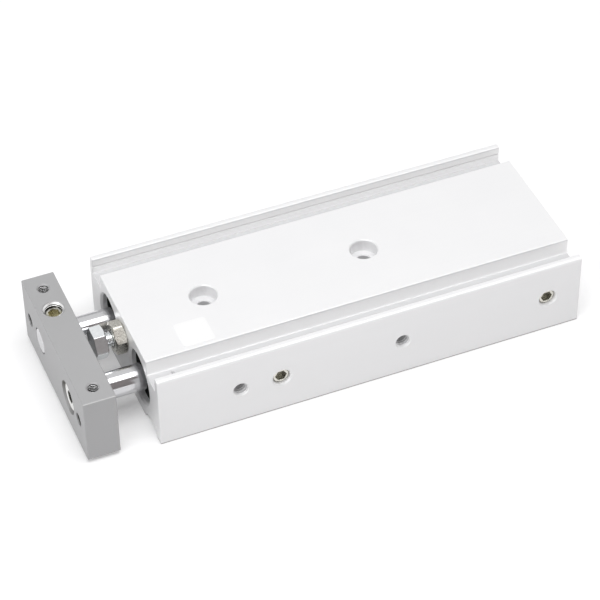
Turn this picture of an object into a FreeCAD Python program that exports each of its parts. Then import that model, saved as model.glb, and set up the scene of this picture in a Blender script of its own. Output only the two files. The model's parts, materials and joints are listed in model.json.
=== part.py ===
import FreeCAD, Part
import os
import Sketcher

# Twin rod pneumatic cylinder: two pistons side by side in one extruded body, their rods joined by a yoke.
# The frame: +X is the way the rods extend, +Z is up, and the origin is on the underside of the body,
# midway between its two mounting holes. Each piece is drawn in a frame of its own, with x running from
# the piece's front or driven end into the cylinder, and is then placed. Left is the +Y side.

doc = FreeCAD.newDocument("TwinRodCylinder")

# Driving dimensions in millimetres. Lengths along the bore add up to the length of the body.
DIMENSIONS = [
    ("stroke", 50, "travel of the rods"),
    ("rod_pitch", 20, "distance between the two bore axes"),
    ("axis_height", 9.7, "bore axes above the underside"),
    ("top_offset", 9.6, "top face above the bore axes"),
    ("side_offset", 13, "side face beyond the bore axis"),
    ("shoulder_radius", 0.8, "rounded outer top edges of the extrusion"),
    ("edge_radius", 0.25, "rounded edges of the slots and the underside"),
    ("end_chamfer", 0.12, "broken edges of the sawn ends"),
    ("lip_thickness", 1.8, "outer wall of a sensor slot"),
    ("slot_width", 5.55, "sensor slot, wall to wall"),
    ("slot_depth", 4.1, "sensor slot, top to floor"),
    ("slot_foot", 0.4, "rounded foot of the slot's inner wall"),
    ("slot_line_drop", 2.2, "clip groove in the slot's outer wall, below the top"),
    ("slot_line_width", 0.6, "clip groove, across its mouth"),
    ("slot_line_depth", 0.25, "clip groove, into the wall"),
    ("stake_offset", 5.8, "staking dimple in the slot floor, behind the front face"),
    ("stake_inset", 1.45, "staking dimple, from the slot's inner wall"),
    ("stake_diameter", 0.9, "staking dimple"),
    ("stake_depth", 1, "staking dimple"),
    ("foot_groove_offset", 6.8, "rounded groove along the underside, beyond the bore axis"),
    ("foot_groove_width", 8, "groove along the underside, across its mouth"),
    ("foot_groove_depth", 2.4, "groove along the underside"),
    ("cylinder_bore", 10, "bore that the piston runs in"),
    ("housing_bore", 13, "front bore that holds the rod bearing"),
    ("cap_bore", 12, "rear bore that holds the end cap"),
    ("bore_chamfer", 0.5, "broken edge at each bore mouth"),
    ("press_clearance", 0.02, "radial play of a piece that stays put"),
    ("running_clearance", 0.03, "radial play of a piece that slides"),
    ("end_gap", 0.3, "play left at each end of the stroke"),
    ("ring_inset", 4.5, "front snap ring behind the front face"),
    ("ring_thickness", 1, "snap ring along the bore"),
    ("ring_band", 1.1, "snap ring across its band"),
    ("ring_groove_depth", 0.3, "snap ring groove into the wall"),
    ("ring_groove_slack", 0.1, "groove wider than the ring"),
    ("ring_opening", 2.6, "gap between the ring's two ears"),
    ("ring_ear", 2.4, "diameter of an ear"),
    ("ring_ear_hole", 1, "plier hole in an ear"),
    ("washer_thickness", 1, "seal washer along the bore"),
    ("washer_play", 0.3, "seal washer round the rod"),
    ("rod_seal_length", 3, "rod seal along the bore"),
    ("rod_seal_lip", 0.9, "thickness of a seal lip at its tip"),
    ("rod_seal_cup", 1.7, "depth of the cup between the lips"),
    ("bearing_length", 17.5, "rod bearing along the bore"),
    ("bearing_chamfer", 0.5, "broken outer edges of the bearing"),
    ("grease_groove", 1.2, "grease groove along the bore, also its distance from the end"),
    ("grease_depth", 0.25, "grease groove into the bearing"),
    ("rod_diameter", 6.4, "piston rod"),
    ("rod_chamfer", 0.4, "broken edge at the rod ends"),
    ("stub_diameter", 4, "turned down rear end of the rod"),
    ("stub_end", 0.5, "stub beyond its nut"),
    ("front_bumper_length", 5, "bumper ring ahead of the piston"),
    ("front_bumper_diameter", 8, "bumper ring ahead of the piston"),
    ("magnet_length", 3, "sensor magnet"),
    ("magnet_diameter", 9.2, "sensor magnet"),
    ("piston_play", 0.1, "piston land to bore, radial"),
    ("piston_land", 1.6, "each of the three lands of the piston"),
    ("piston_seal_width", 2.4, "seal groove in the piston"),
    ("piston_seal_depth", 1.5, "seal groove in the piston"),
    ("wear_ring_width", 1.8, "wear ring groove in the piston"),
    ("wear_ring_depth", 0.8, "wear ring groove in the piston"),
    ("groove_slack", 0.1, "ring narrower than its groove, at each side"),
    ("piston_nut_flats", 7, "piston nut across flats"),
    ("piston_nut_height", 2.9, "piston nut"),
    ("rear_bumper_diameter", 6, "bumper button in the end cap"),
    ("rear_bumper_seat", 1, "bumper button sunk in the end cap"),
    ("rear_bumper_proud", 1, "bumper button standing out of the end cap"),
    ("cap_length", 3.6, "end cap along the bore"),
    ("cap_chamfer", 0.3, "broken edges of the end cap"),
    ("cap_ring_inset", 1.4, "rear snap ring inside the rear face"),
    ("cap_puller_hole", 2.5, "puller hole in the end cap"),
    ("cap_puller_depth", 1.2, "puller hole in the end cap"),
    ("o_ring_section", 1, "cord of the end cap's O-ring"),
    ("o_ring_groove", 1.4, "O-ring groove along the bore"),
    ("mount_offset", 19.7, "first mounting hole behind the front face"),
    ("mount_pitch", 40, "distance between the mounting holes"),
    ("mount_hole", 3.4, "through hole"),
    ("mount_head", 6.5, "counterbore for a screw head"),
    ("mount_head_depth", 3.3, "counterbore for a screw head"),
    ("mount_rim", 0.25, "broken edges of the mounting holes"),
    ("side_thread", 3.3, "tapping size of the side threads"),
    ("side_thread_depth", 6, "side threads"),
    ("port_thread", 4.2, "tapping size of the air ports"),
    ("port_depth", 6, "air ports"),
    ("port_passage", 2.5, "drilling that joins the two bores"),
    ("front_port_offset", 2.7, "front port behind the bearing"),
    ("rear_port_offset", 2.3, "rear port ahead of the end cap"),
    ("mouth_chamfer", 0.35, "countersunk edge of a tapped hole"),
    ("plug_length", 4, "port plug"),
    ("plug_inset", 0.8, "port plug below the side face"),
    ("plug_socket", 2.5, "hexagon socket of plugs and clamp screw, across flats"),
    ("plug_socket_depth", 2, "hexagon socket of plugs and clamp screw"),
    ("yoke_gap", 9.2, "yoke ahead of the body when the rods are in"),
    ("yoke_thickness", 7.8, "yoke plate"),
    ("yoke_width", 44.2, "yoke plate"),
    ("yoke_height", 17.4, "yoke plate"),
    ("yoke_edge", 0.15, "broken edges of the yoke plate"),
    ("yoke_hole_pitch", 35, "outer tapped holes of the yoke"),
    ("yoke_front_thread", 3.3, "tapping size of the front holes"),
    ("yoke_top_thread", 2.5, "tapping size of the top holes"),
    ("yoke_top_depth", 5, "top holes"),
    ("rod_spigot", 1.5, "left rod let into the back of the yoke"),
    ("rod_screw_recess", 8.2, "recess for the rod screw's head"),
    ("rod_screw_recess_depth", 4.4, "recess for the rod screw's head"),
    ("rod_screw_head", 7, "rod screw's head"),
    ("rod_screw_head_height", 3.2, "rod screw's head"),
    ("rod_screw_hole", 4.3, "hole through the yoke for the rod screw"),
    ("rod_screw_thread", 3.3, "threaded length of the rod screw, drawn at tapping size"),
    ("rod_screw_engagement", 8, "rod screw inside the rod"),
    ("rod_screw_bottom", 1.5, "room past the rod screw's tip"),
    ("rod_screw_socket", 3, "rod screw's socket across flats"),
    ("rod_screw_socket_depth", 1.8, "rod screw's socket"),
    ("clamp_thread", 4.2, "tapping size of the clamp screw's hole"),
    ("clamp_mouth_chamfer", 0.6, "countersunk edge of the clamp screw's hole"),
    ("clamp_inset", 1.3, "clamp screw below the top of the yoke"),
    ("screw_chamfer", 0.3, "broken edges of the screws"),
    ("corner_start", 0.475, "chamfer on hexagon corners starts at this share of the flats' distance"),
    ("corner_angle", 30, "chamfer on hexagon corners, in degrees"),
    ("stop_height", 13.85, "stop bolt above the underside"),
    ("stop_thread", 4, "stop bolt's shank"),
    ("stop_play", 0.05, "stop bolt in its nut and hole, radial"),
    ("stop_reach", 4.6, "underside of the bolt's head ahead of the body"),
    ("stop_length", 16, "stop bolt below its head"),
    ("stop_hole_depth", 14, "stop bolt's hole"),
    ("stop_head_flats", 7, "stop bolt's head across flats"),
    ("stop_head_height", 2.95, "stop bolt's head"),
    ("lock_nut_flats", 7, "lock nut across flats"),
    ("lock_nut_height", 2.9, "lock nut"),
    ("lock_nut_turn", 42, "a corner of the tightened lock nut, from level, in degrees"),
]

sheet = doc.addObject("Spreadsheet::Sheet", "dim")
for row, (alias, number, note) in enumerate(DIMENSIONS, 1):
    sheet.set(f"A{row}", alias)
    sheet.set(f"B{row}", str(number))
    sheet.set(f"C{row}", note)
    sheet.setAlias(f"B{row}", alias)
doc.recompute()

# Stations along the bore, measured backwards from the front face of the body.
RING_END = "(dim.ring_inset + dim.ring_thickness)"
WASHER_END = f"({RING_END} + dim.washer_thickness)"
SEAL_END = f"({WASHER_END} + dim.rod_seal_length)"
HOUSING_END = f"({SEAL_END} + dim.bearing_length)"
PISTON_LENGTH = "(3 * dim.piston_land + dim.piston_seal_width + dim.wear_ring_width)"
BUMPER_START = f"({HOUSING_END} + dim.end_gap + dim.stroke)"
SHOULDER = f"({BUMPER_START} + dim.front_bumper_length)"
PISTON_START = f"({SHOULDER} + dim.magnet_length)"
NUT_START = f"({PISTON_START} + {PISTON_LENGTH})"
ROD_END = f"({NUT_START} + dim.piston_nut_height + dim.stub_end)"
CAP_START = f"({ROD_END} + dim.end_gap + dim.rear_bumper_proud)"
CAP_END = f"({CAP_START} + dim.cap_length)"
BODY_LENGTH = f"({CAP_END} + dim.ring_thickness + dim.cap_ring_inset)"
YOKE_FRONT = "(-dim.yoke_gap - dim.yoke_thickness)"
FRONT_PORT = f"({HOUSING_END} + dim.front_port_offset)"
REAR_PORT = f"({CAP_START} - dim.rear_port_offset)"

# Places across the part.
FRONT_FACE = "(dim.mount_offset + dim.mount_pitch / 2)"
HALF_PITCH = "(dim.rod_pitch / 2)"
HALF_WIDTH = f"({HALF_PITCH} + dim.side_offset)"
BODY_HEIGHT = "(dim.axis_height + dim.top_offset)"
YOKE_TOP = "(dim.axis_height + dim.yoke_height / 2)"
SIDES = (("left", "1"), ("right", "-1"))

# Turns that carry a piece's own x direction into the part.
BACKWARD = FreeCAD.Rotation(FreeCAD.Vector(0, 0, 1), 180)
DOWNWARD = FreeCAD.Rotation(FreeCAD.Vector(0, 1, 0), 90)
INWARD_FROM_LEFT = FreeCAD.Rotation(FreeCAD.Vector(0, 0, 1), -90)

pieces = []


def new_piece(label, place, turn=BACKWARD):
    """Starts a piece, with its place given as three expressions."""
    body = doc.addObject("PartDesign::Body", label)
    body.Label = label
    body.Placement = FreeCAD.Placement(FreeCAD.Vector(0, 0, 0), turn)
    for axis, expression in zip("xyz", place):
        body.setExpression(f"Placement.Base.{axis}", expression)
    pieces.append(body)
    return body


def on_axis(station, side):
    """Place of a piece whose front end is at a station on the left or right bore axis."""
    return f"{FRONT_FACE} - {station}", f"{side} * {HALF_PITCH}", "dim.axis_height"


def plane(body, role):
    return next(feature for feature in body.Origin.OriginFeatures if feature.Role == role)


def new_sketch(body, role, lift="0"):
    """Sketch on one of the piece's own planes, lifted along that plane's normal."""
    sketch = body.newObject("Sketcher::SketchObject", f"{body.Label}_sketch")
    sketch.AttachmentSupport = (plane(body, role), [""])
    sketch.MapMode = "FlatFace"
    sketch.setExpression("AttachmentOffset.Base.z", lift)
    return sketch


def bind(sketch, kind, where, expression):
    """Adds one dimension to a sketch, driven by an expression."""
    index = sketch.addConstraint(Sketcher.Constraint(kind, *where, float(sketch.evalExpression(expression))))
    sketch.setExpression(f"Constraints[{index}]", expression)


def draw_outline(sketch, corners):
    """Closed outline of straight edges, with each corner placed by two expressions."""
    spots = [FreeCAD.Vector(*(float(sketch.evalExpression(part)) for part in corner), 0) for corner in corners]
    first = sketch.GeometryCount
    count = len(corners)
    for index, spot in enumerate(spots):
        sketch.addGeometry(Part.LineSegment(spot, spots[(index + 1) % count]))
    for index, (across, up) in enumerate(corners):
        following = first + (index + 1) % count
        sketch.addConstraint(Sketcher.Constraint("Coincident", first + index, 2, following, 1))
        bind(sketch, "DistanceX", (-1, 1, first + index, 1), across)
        bind(sketch, "DistanceY", (-1, 1, first + index, 1), up)


def draw_circle(sketch, across, up, diameter):
    centre = FreeCAD.Vector(float(sketch.evalExpression(across)), float(sketch.evalExpression(up)), 0)
    radius = float(sketch.evalExpression(diameter)) / 2
    index = sketch.addGeometry(Part.Circle(centre, FreeCAD.Vector(0, 0, 1), radius))
    bind(sketch, "DistanceX", (-1, 1, index, 3), across)
    bind(sketch, "DistanceY", (-1, 1, index, 3), up)
    bind(sketch, "Diameter", (index,), diameter)


def draw_hexagon(sketch, flats, turn="0"):
    """Hexagon round the piece's axis, with a corner at the level or turned from it by some degrees."""
    reach = f"{flats} / sqrt(3)"
    angles = [f"({turn} + {corner})" for corner in range(0, 360, 60)]
    draw_outline(sketch, [(f"{reach} * cos({angle})", f"{reach} * sin({angle})") for angle in angles])


def finish_feature(body, feature, cuts):
    """Recomputes and makes sure that a cut took material away and an addition added some."""
    doc.recompute()
    base = feature.BaseFeature
    change = feature.Shape.Volume - (base.Shape.Volume if base else 0)
    if (cuts and change >= 0) or (not cuts and change <= 0):
        raise RuntimeError(f"{feature.Name} of {body.Label} changes nothing")
    return feature


def revolve(body, sketch):
    feature = body.newObject("PartDesign::Revolution", f"{body.Label}_turned")
    feature.Profile = sketch
    feature.ReferenceAxis = (sketch, ["H_Axis"])
    feature.Angle = 360
    return finish_feature(body, feature, False)


def pad(body, sketch, length):
    feature = body.newObject("PartDesign::Pad", f"{body.Label}_pad")
    feature.Profile = sketch
    feature.setExpression("Length", length)
    return finish_feature(body, feature, False)


def pocket(body, sketch, depth=None, along_normal=False):
    """Straight cut against the sketch's normal, or along it; no depth means right through both ways."""
    feature = body.newObject("PartDesign::Pocket", f"{body.Label}_pocket")
    feature.Profile = sketch
    feature.Reversed = along_normal
    if depth is None:
        feature.Type = "ThroughAll"
        feature.Midplane = True
    else:
        feature.setExpression("Length", depth)
    return finish_feature(body, feature, True)


def turn_away(body, sketch, axis):
    """Cut made by turning a sketch about one of its own axes."""
    feature = body.newObject("PartDesign::Groove", f"{body.Label}_groove")
    feature.Profile = sketch
    feature.ReferenceAxis = (sketch, [axis])
    feature.Angle = 360
    return finish_feature(body, feature, True)


def drill(body, sketch, diameter, depth, countersink, end="Angled"):
    """Drilled holes at a sketch's circles, with an angled or flat end and a countersunk edge."""
    doc.recompute()
    feature = body.newObject("PartDesign::Hole", f"{body.Label}_hole")
    feature.Profile = sketch
    doc.recompute()
    feature.setExpression("Diameter", diameter)
    if depth is None:
        feature.DepthType = "ThroughAll"
    else:
        feature.DepthType = "Dimension"
        feature.DrillPoint = end
        feature.setExpression("Depth", depth)
    feature.HoleCutType = "Countersink"
    feature.HoleCutCustomValues = True
    feature.HoleCutCountersinkAngle = 90
    feature.setExpression("HoleCutDiameter", f"{diameter} + 2 * {countersink}")
    return finish_feature(body, feature, True)


def mirror_sideways(body, features):
    """Repeats features on the other side of the piece's upright middle plane."""
    feature = body.newObject("PartDesign::Mirrored", f"{body.Label}_mirrored")
    feature.Originals = features
    feature.MirrorPlane = (plane(body, "XZ_Plane"), [""])
    body.Tip = feature
    return finish_feature(body, feature, True)


def turned(label, place, profile, turn=BACKWARD):
    """Turned piece; the profile's corners are (distance from the front end, radius) expressions."""
    body = new_piece(label, place, turn)
    sketch = new_sketch(body, "XY_Plane")
    draw_outline(sketch, profile)
    revolve(body, sketch)
    return body


def tube(start, end, inner, outer, chamfer="0"):
    """Profile of a plain ring, with its outer edges broken where a chamfer is given."""
    if chamfer == "0":
        return [(start, inner), (start, outer), (end, outer), (end, inner)]
    return [
        (start, inner), (start, f"{outer} - {chamfer}"), (f"{start} + {chamfer}", outer),
        (f"{end} - {chamfer}", outer), (end, f"{outer} - {chamfer}"), (end, inner),
    ]


def socket(body, flats, depth):
    """Hexagon socket in the driven end of a screw."""
    sketch = new_sketch(body, "YZ_Plane")
    draw_hexagon(sketch, flats)
    pocket(body, sketch, depth, along_normal=True)


def break_hexagon_corners(body, flats, faces):
    """Conical chamfer on the corners of a hexagon, at front faces (+1) and rear faces (-1)."""
    touch = f"{flats} * dim.corner_start"
    outside = f"({flats} / sqrt(3) + dim.screw_chamfer)"
    run = f"({outside} - {touch}) * tan(dim.corner_angle)"
    sketch = new_sketch(body, "XY_Plane")
    for station, direction in faces:
        draw_outline(sketch, [
            (station, touch), (station, outside), (f"{station} + {direction} * {run}", outside),
        ])
    turn_away(body, sketch, "H_Axis")


def hexagon_nut(label, place, flats, height, hole, turn="0"):
    """Hexagon nut with chamfered corners on both faces and a plain bore in place of its thread."""
    body = new_piece(label, place)
    sketch = new_sketch(body, "YZ_Plane")
    draw_hexagon(sketch, flats, turn)
    pad(body, sketch, height)
    break_hexagon_corners(body, flats, (("0", "1"), (height, "-1")))
    sketch = new_sketch(body, "YZ_Plane")
    draw_circle(sketch, "0", "0", hole)
    pocket(body, sketch)
    return body


def near(number, target):
    return abs(number - target) < 1e-4


def edges_along(shape, length, places):
    """Names of the straight edges of that length that lie at (across, up) places, on both sides."""
    names = []
    for index, edge in enumerate(shape.Edges, 1):
        ends = [vertex.Point for vertex in edge.Vertexes]
        for across, up in places:
            if near(edge.Length, length) and all(near(abs(end.y), across) and near(end.z, up) for end in ends):
                names.append(f"Edge{index}")
    return names


def round_edges(body, base, names, radius, cuts=True):
    """Rounds outer edges, which takes material away, or inner corners, which adds some."""
    feature = body.newObject("PartDesign::Fillet", f"{body.Label}_rounding")
    feature.Base = (base, names)
    feature.setExpression("Radius", radius)
    return finish_feature(body, feature, cuts)


def cylinder_body():
    """Extruded aluminium body with two stepped bores, two sensor slots, mounting holes and ports."""
    body = new_piece("cylinder_body", (FRONT_FACE, "0", "0"))

    slot_outer = f"({HALF_WIDTH} - dim.lip_thickness)"
    slot_inner = f"({slot_outer} - dim.slot_width)"
    floor = f"({BODY_HEIGHT} - dim.slot_depth)"
    line = f"({BODY_HEIGHT} - dim.slot_line_drop)"
    half = [
        (HALF_WIDTH, "0"), (HALF_WIDTH, BODY_HEIGHT), (slot_outer, BODY_HEIGHT),
        (slot_outer, f"{line} + dim.slot_line_width / 2"), (f"{slot_outer} + dim.slot_line_depth", line),
        (slot_outer, f"{line} - dim.slot_line_width / 2"),
        (slot_outer, floor), (slot_inner, floor), (slot_inner, BODY_HEIGHT),
    ]
    section = new_sketch(body, "YZ_Plane")
    draw_outline(section, half + [(f"-{across}", up) for across, up in reversed(half)])
    extrusion = pad(body, section, BODY_LENGTH)

    width, outer_wall, inner_wall = (
        float(body.evalExpression(across)) for across in (HALF_WIDTH, slot_outer, slot_inner))
    top, slot_floor, length = (
        float(body.evalExpression(size)) for size in (BODY_HEIGHT, floor, BODY_LENGTH))
    shoulders = edges_along(extrusion.Shape, length, [(width, top)])
    rounding = round_edges(body, extrusion, shoulders, "dim.shoulder_radius")
    other_edges = edges_along(rounding.Shape, length, [(width, 0), (outer_wall, top), (inner_wall, top)])
    rounding = round_edges(body, rounding, other_edges, "dim.edge_radius")
    slot_feet = edges_along(rounding.Shape, length, [(inner_wall, slot_floor)])
    rounding = round_edges(body, rounding, slot_feet, "dim.slot_foot", cuts=False)
    end_edges = []
    for index, edge in enumerate(rounding.Shape.Edges, 1):
        stations = [vertex.Point.x for vertex in edge.Vertexes]
        if any(all(near(station, end) for station in stations) for end in (0, length)):
            end_edges.append(f"Edge{index}")
    sawn_ends = body.newObject("PartDesign::Chamfer", "cylinder_body_ends")
    sawn_ends.Base = (rounding, end_edges)
    sawn_ends.setExpression("Size", "dim.end_chamfer")
    finish_feature(body, sawn_ends, True)

    foot_groove = new_sketch(body, "YZ_Plane")
    depth = "dim.foot_groove_depth"
    round_of_groove = f"(dim.foot_groove_width * dim.foot_groove_width / (4 * {depth}) + {depth})"
    for side in ("", "-"):
        draw_circle(foot_groove, f"{side}({HALF_PITCH} + dim.foot_groove_offset)",
                    f"{depth} - {round_of_groove} / 2", round_of_groove)
    pocket(body, foot_groove)

    bore = new_sketch(body, "XY_Plane", "dim.axis_height")
    half_pitch = float(body.evalExpression(HALF_PITCH))
    axis_ends = (FreeCAD.Vector(0, half_pitch, 0), FreeCAD.Vector(length, half_pitch, 0))
    axis_line = bore.addGeometry(Part.LineSegment(*axis_ends), True)
    bind(bore, "DistanceX", (-1, 1, axis_line, 1), "0")
    bind(bore, "DistanceY", (-1, 1, axis_line, 1), HALF_PITCH)
    bind(bore, "DistanceX", (-1, 1, axis_line, 2), BODY_LENGTH)
    bind(bore, "DistanceY", (-1, 1, axis_line, 2), HALF_PITCH)
    housing = "dim.housing_bore / 2"
    cap = "dim.cap_bore / 2"
    rear_ring_end = f"({CAP_END} + dim.ring_thickness)"
    steps = [
        ("0", "0"), ("0", f"{housing} + dim.bore_chamfer"), ("dim.bore_chamfer", housing),
        ("dim.ring_inset - dim.ring_groove_slack", housing),
        ("dim.ring_inset - dim.ring_groove_slack", f"{housing} + dim.ring_groove_depth"),
        (RING_END, f"{housing} + dim.ring_groove_depth"), (RING_END, housing), (HOUSING_END, housing),
        (HOUSING_END, "dim.cylinder_bore / 2"), (CAP_START, "dim.cylinder_bore / 2"),
        (CAP_START, cap), (CAP_END, cap), (CAP_END, f"{cap} + dim.ring_groove_depth"),
        (f"{rear_ring_end} + dim.ring_groove_slack", f"{cap} + dim.ring_groove_depth"),
        (f"{rear_ring_end} + dim.ring_groove_slack", cap),
        (f"{BODY_LENGTH} - dim.bore_chamfer", cap), (BODY_LENGTH, f"{cap} + dim.bore_chamfer"),
        (BODY_LENGTH, "0"),
    ]
    draw_outline(bore, [(along, f"{HALF_PITCH} + {radius}") for along, radius in steps])
    bores = [turn_away(body, bore, "Axis0")]

    stakes = new_sketch(body, "XY_Plane", floor)
    draw_circle(stakes, "dim.stake_offset", f"{slot_inner} + dim.stake_inset", "dim.stake_diameter")
    bores.append(pocket(body, stakes, "dim.stake_depth"))
    mirror_sideways(body, bores)

    mount_heads = new_sketch(body, "XY_Plane", BODY_HEIGHT)
    mount_holes = new_sketch(body, "XY_Plane", f"{BODY_HEIGHT} - dim.mount_head_depth")
    for station in ("dim.mount_offset", "dim.mount_offset + dim.mount_pitch"):
        draw_circle(mount_heads, station, "0", "dim.mount_head")
        draw_circle(mount_holes, station, "0", "dim.mount_hole")
    drill(body, mount_heads, "dim.mount_head", "dim.mount_head_depth", "dim.mount_rim", "Flat")
    drill(body, mount_holes, "dim.mount_hole", None, "dim.mount_rim")

    passages = new_sketch(body, "XZ_Plane")
    for station in (FRONT_PORT, REAR_PORT):
        draw_circle(passages, station, "dim.axis_height", "dim.port_passage")
    pocket(body, passages)

    side_threads = new_sketch(body, "XZ_Plane", HALF_WIDTH)
    for station in ("dim.mount_offset", "dim.mount_offset + dim.mount_pitch"):
        draw_circle(side_threads, station, "dim.axis_height", "dim.side_thread")
    threads = drill(body, side_threads, "dim.side_thread", "dim.side_thread_depth", "dim.mouth_chamfer")
    mirror_sideways(body, [threads])

    port_mouths = new_sketch(body, "XZ_Plane", HALF_WIDTH)
    for station in (FRONT_PORT, REAR_PORT):
        draw_circle(port_mouths, station, "dim.axis_height", "dim.port_thread")
    ports = drill(body, port_mouths, "dim.port_thread", "dim.port_depth", "dim.mouth_chamfer")
    mirror_sideways(body, [ports])

    stop_hole = new_sketch(body, "YZ_Plane")
    draw_circle(stop_hole, "0", "dim.stop_height", "dim.stop_thread + 2 * dim.stop_play")
    pocket(body, stop_hole, "dim.stop_hole_depth", along_normal=True)


def snap_ring(label, station, side, bore):
    """Inside retaining ring with two eared ends; its opening faces the other bore."""
    body = new_piece(label, on_axis(station, side))
    outer = f"({bore} / 2 + dim.ring_groove_depth - dim.press_clearance)"
    inner = f"({outer} - dim.ring_band)"
    ear_up = "(dim.ring_opening / 2 + dim.ring_ear_hole)"
    ear_reach = f"({inner} - dim.ring_ear / 4)"
    ear_across = f"{side} * sqrt({ear_reach} * {ear_reach} - {ear_up} * {ear_up})"
    band = new_sketch(body, "YZ_Plane")
    draw_circle(band, "0", "0", f"2 * {outer}")
    draw_circle(band, "0", "0", f"2 * {inner}")
    pad(body, band, "dim.ring_thickness")
    ears = new_sketch(body, "YZ_Plane")
    draw_circle(ears, ear_across, ear_up, "dim.ring_ear")
    draw_circle(ears, ear_across, f"-{ear_up}", "dim.ring_ear")
    pad(body, ears, "dim.ring_thickness")
    opening = new_sketch(body, "YZ_Plane")
    draw_outline(opening, [
        ("0", "-dim.ring_opening / 2"), (f"{side} * 2 * {outer}", "-dim.ring_opening / 2"),
        (f"{side} * 2 * {outer}", "dim.ring_opening / 2"), ("0", "dim.ring_opening / 2"),
    ])
    pocket(body, opening)
    holes = new_sketch(body, "YZ_Plane")
    draw_circle(holes, ear_across, ear_up, "dim.ring_ear_hole")
    draw_circle(holes, ear_across, f"-{ear_up}", "dim.ring_ear_hole")
    pocket(body, holes)


def rod_gland(name, side):
    """Washer, lip seal and bearing bush that close the front of one bore round its rod."""
    outer = "(dim.housing_bore / 2 - dim.press_clearance)"
    inner = "(dim.rod_diameter / 2 + dim.running_clearance)"
    turned(f"{name}_seal_washer", on_axis(RING_END, side), tube(
        "0", "dim.washer_thickness", "dim.rod_diameter / 2 + dim.washer_play", outer))
    length = "dim.rod_seal_length"
    cup_floor = f"{length} - dim.rod_seal_cup"
    middle = f"({inner} + {outer}) / 2"
    turned(f"{name}_rod_seal", on_axis(WASHER_END, side), [
        ("0", inner), ("0", outer), (length, outer), (length, f"{outer} - dim.rod_seal_lip"),
        (cup_floor, middle), (length, f"{inner} + dim.rod_seal_lip"), (length, inner),
    ])
    length = "dim.bearing_length"
    groove = f"{inner} + dim.grease_depth"
    profile = tube("0", length, inner, outer, "dim.bearing_chamfer")
    profile += [
        (f"{length} - dim.grease_groove", inner), (f"{length} - dim.grease_groove", groove),
        (f"{length} - 2 * dim.grease_groove", groove), (f"{length} - 2 * dim.grease_groove", inner),
        ("2 * dim.grease_groove", inner), ("2 * dim.grease_groove", groove),
        ("dim.grease_groove", groove), ("dim.grease_groove", inner),
    ]
    turned(f"{name}_rod_bearing", on_axis(SEAL_END, side), profile)


def piston_rod(name, side, front, bored):
    """Ground rod with a turned down rear end; the left one is tapped at the front for its screw."""
    radius = "dim.rod_diameter / 2"
    stub = "dim.stub_diameter / 2"
    shoulder = f"({SHOULDER} - {front})"
    end = f"({ROD_END} - {front})"
    outside = [
        ("0", f"{radius} - dim.rod_chamfer"), ("dim.rod_chamfer", radius), (shoulder, radius),
        (shoulder, stub), (f"{end} - dim.rod_chamfer", stub), (end, f"{stub} - dim.rod_chamfer"), (end, "0"),
    ]
    if bored:
        depth = "(dim.rod_screw_engagement + dim.rod_screw_bottom)"
        tapped = "dim.rod_screw_thread / 2"
        profile = [(depth, "0"), (depth, tapped), ("0", tapped)] + outside
    else:
        profile = [("0", "0")] + outside
    turned(f"{name}_piston_rod", on_axis(front, side), profile)


def piston_group(name, side):
    """Bumper, magnet, piston with its two rings, and the nut that holds them on the rod's stub."""
    bore = "dim.cylinder_bore / 2"
    hole = "dim.stub_diameter / 2 + dim.press_clearance"
    turned(f"{name}_front_bumper", on_axis(BUMPER_START, side), tube(
        "0", "dim.front_bumper_length", "dim.rod_diameter / 2 + dim.press_clearance",
        "dim.front_bumper_diameter / 2", "dim.rod_chamfer"))
    turned(f"{name}_magnet", on_axis(SHOULDER, side), tube(
        "0", "dim.magnet_length", hole, "dim.magnet_diameter / 2", "dim.screw_chamfer"))
    land = f"({bore} - dim.piston_play)"
    wear_floor = f"({land} - dim.wear_ring_depth)"
    seal_floor = f"({land} - dim.piston_seal_depth)"
    wear_start = "dim.piston_land"
    wear_end = f"({wear_start} + dim.wear_ring_width)"
    seal_start = f"({wear_end} + dim.piston_land)"
    seal_end = f"({seal_start} + dim.piston_seal_width)"
    turned(f"{name}_piston", on_axis(PISTON_START, side), [
        ("0", hole), ("0", f"{land} - dim.screw_chamfer"), ("dim.screw_chamfer", land),
        (wear_start, land), (wear_start, wear_floor), (wear_end, wear_floor), (wear_end, land),
        (seal_start, land), (seal_start, seal_floor), (seal_end, seal_floor), (seal_end, land),
        (f"{PISTON_LENGTH} - dim.screw_chamfer", land), (PISTON_LENGTH, f"{land} - dim.screw_chamfer"),
        (PISTON_LENGTH, hole),
    ])
    sliding = f"({bore} - dim.running_clearance)"
    turned(f"{name}_wear_ring", on_axis(f"({PISTON_START} + {wear_start} + dim.groove_slack)", side), tube(
        "0", "dim.wear_ring_width - 2 * dim.groove_slack", f"{wear_floor} + dim.press_clearance", sliding))
    turned(f"{name}_piston_seal", on_axis(f"({PISTON_START} + {seal_start} + dim.groove_slack)", side), tube(
        "0", "dim.piston_seal_width - 2 * dim.groove_slack", f"{seal_floor} + dim.press_clearance", sliding,
        "dim.screw_chamfer"))
    hexagon_nut(f"{name}_piston_nut", on_axis(NUT_START, side), "dim.piston_nut_flats",
                "dim.piston_nut_height", f"2 * ({hole})")


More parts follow.
